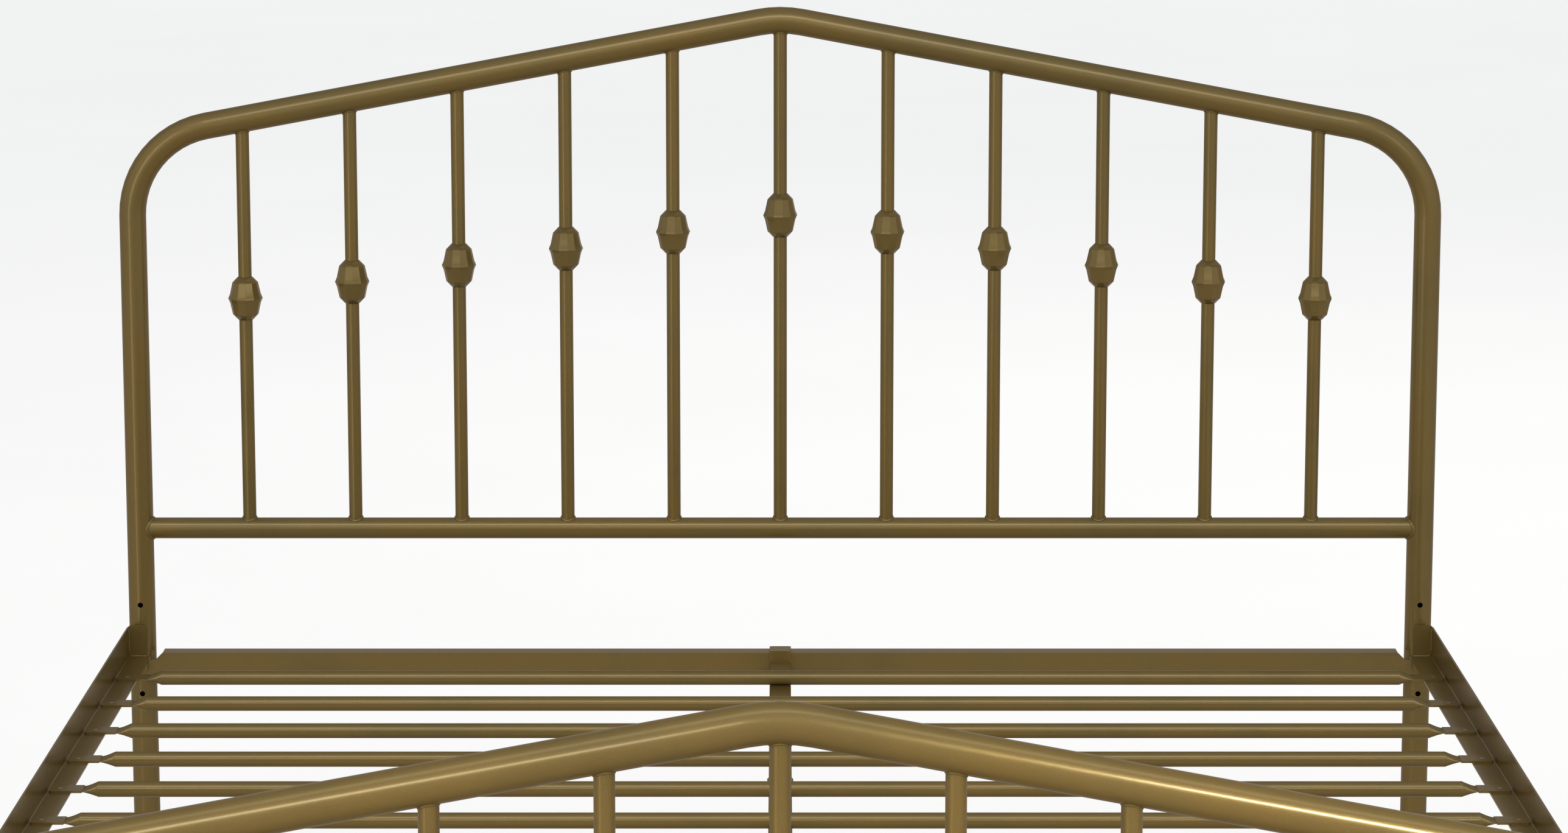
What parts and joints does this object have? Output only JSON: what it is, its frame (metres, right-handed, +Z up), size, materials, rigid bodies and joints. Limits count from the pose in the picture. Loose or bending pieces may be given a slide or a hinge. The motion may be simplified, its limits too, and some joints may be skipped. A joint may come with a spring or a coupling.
{
  "type": "metal bed frame",
  "caption": "Queen-size gold metal bed frame: peaked tube headboard and footboard with upright spindles and faceted castings, angle side rails and round tube slats.",
  "frame": {"origin": "on the floor, at the middle of the bed's footprint", "axes": "+Z up, +Y from the footboard to the headboard, +X to the right for someone at the foot looking at the headboard"},
  "size_m": [1.588, 2.158, 1.0772],
  "materials": {
    "gold_paint": "satin antique-gold powder coat with a slight metallic sheen",
    "zinc_steel": "zinc plated",
    "black_plastic": "moulded, fine grain"
  },
  "bodies": {
    "frame": {"rail_bolts": "gold_paint", "saddle_washers": "gold_paint", "headboard_top_tube": "gold_paint", "headboard_post_left": "gold_paint", "headboard_post_right": "gold_paint", "headboard_lower_bar": "gold_paint", "headboard_castings": "gold_paint", "footboard_top_tube": "gold_paint", "footboard_post_left": "gold_paint", "footboard_post_right": "gold_paint", "footboard_lower_bar": "gold_paint", "footboard_castings": "gold_paint", "headboard_spindle_01": "gold_paint", "headboard_spindle_02": "gold_paint", "headboard_spindle_03": "gold_paint", "headboard_spindle_04": "gold_paint", "headboard_spindle_05": "gold_paint", "headboard_spindle_06": "gold_paint", "headboard_spindle_07": "gold_paint", "headboard_spindle_08": "gold_paint", "headboard_spindle_09": "gold_paint", "headboard_spindle_10": "gold_paint", "headboard_spindle_11": "gold_paint", "footboard_spindles": "gold_paint", "left_side_rail": "gold_paint", "right_side_rail": "gold_paint", "rail_bracket_head_left": "gold_paint", "rail_bracket_head_right": "gold_paint", "rail_bracket_foot_left": "gold_paint", "rail_bracket_foot_right": "gold_paint", "head_cross_angle": "gold_paint", "foot_cross_angle": "gold_paint", "centre_rail": "gold_paint", "centre_rail_hook_head": "gold_paint", "centre_rail_hook_foot": "gold_paint", "slat_01": "gold_paint", "slat_02": "gold_paint", "slat_03": "gold_paint", "slat_04": "gold_paint", "slat_05": "gold_paint", "slat_06": "gold_paint", "slat_07": "gold_paint", "slat_08": "gold_paint", "slat_09": "gold_paint", "slat_10": "gold_paint", "slat_11": "gold_paint", "slat_12": "gold_paint", "slat_13": "gold_paint", "slat_14": "gold_paint", "slat_15": "gold_paint", "slat_16": "gold_paint", "centre_leg_sleeves": "gold_paint", "centre_leg_tube_1": "gold_paint", "centre_leg_tube_2": "gold_paint", "centre_leg_tube_3": "gold_paint", "slat_screws": "zinc_steel", "leg_bolts": "zinc_steel", "leg_nuts": "zinc_steel", "post_caps": "black_plastic", "leg_thread_plugs": "black_plastic"},
    "levelling_foot_1": {"levelling_foot_1": "black_plastic"},
    "levelling_foot_2": {"levelling_foot_2": "black_plastic"},
    "levelling_foot_3": {"levelling_foot_3": "black_plastic"}
  },
  "joints": [
    {"name": "levelling_foot_1_screw", "type": "slide", "parent": "frame", "child": "levelling_foot_1", "axis": [0, 0, 1], "range_m": [-0.008, 0.008]},
    {"name": "levelling_foot_2_screw", "type": "slide", "parent": "frame", "child": "levelling_foot_2", "axis": [0, 0, 1], "range_m": [-0.008, 0.008]},
    {"name": "levelling_foot_3_screw", "type": "slide", "parent": "frame", "child": "levelling_foot_3", "axis": [0, 0, 1], "range_m": [-0.008, 0.008]}
  ]
}
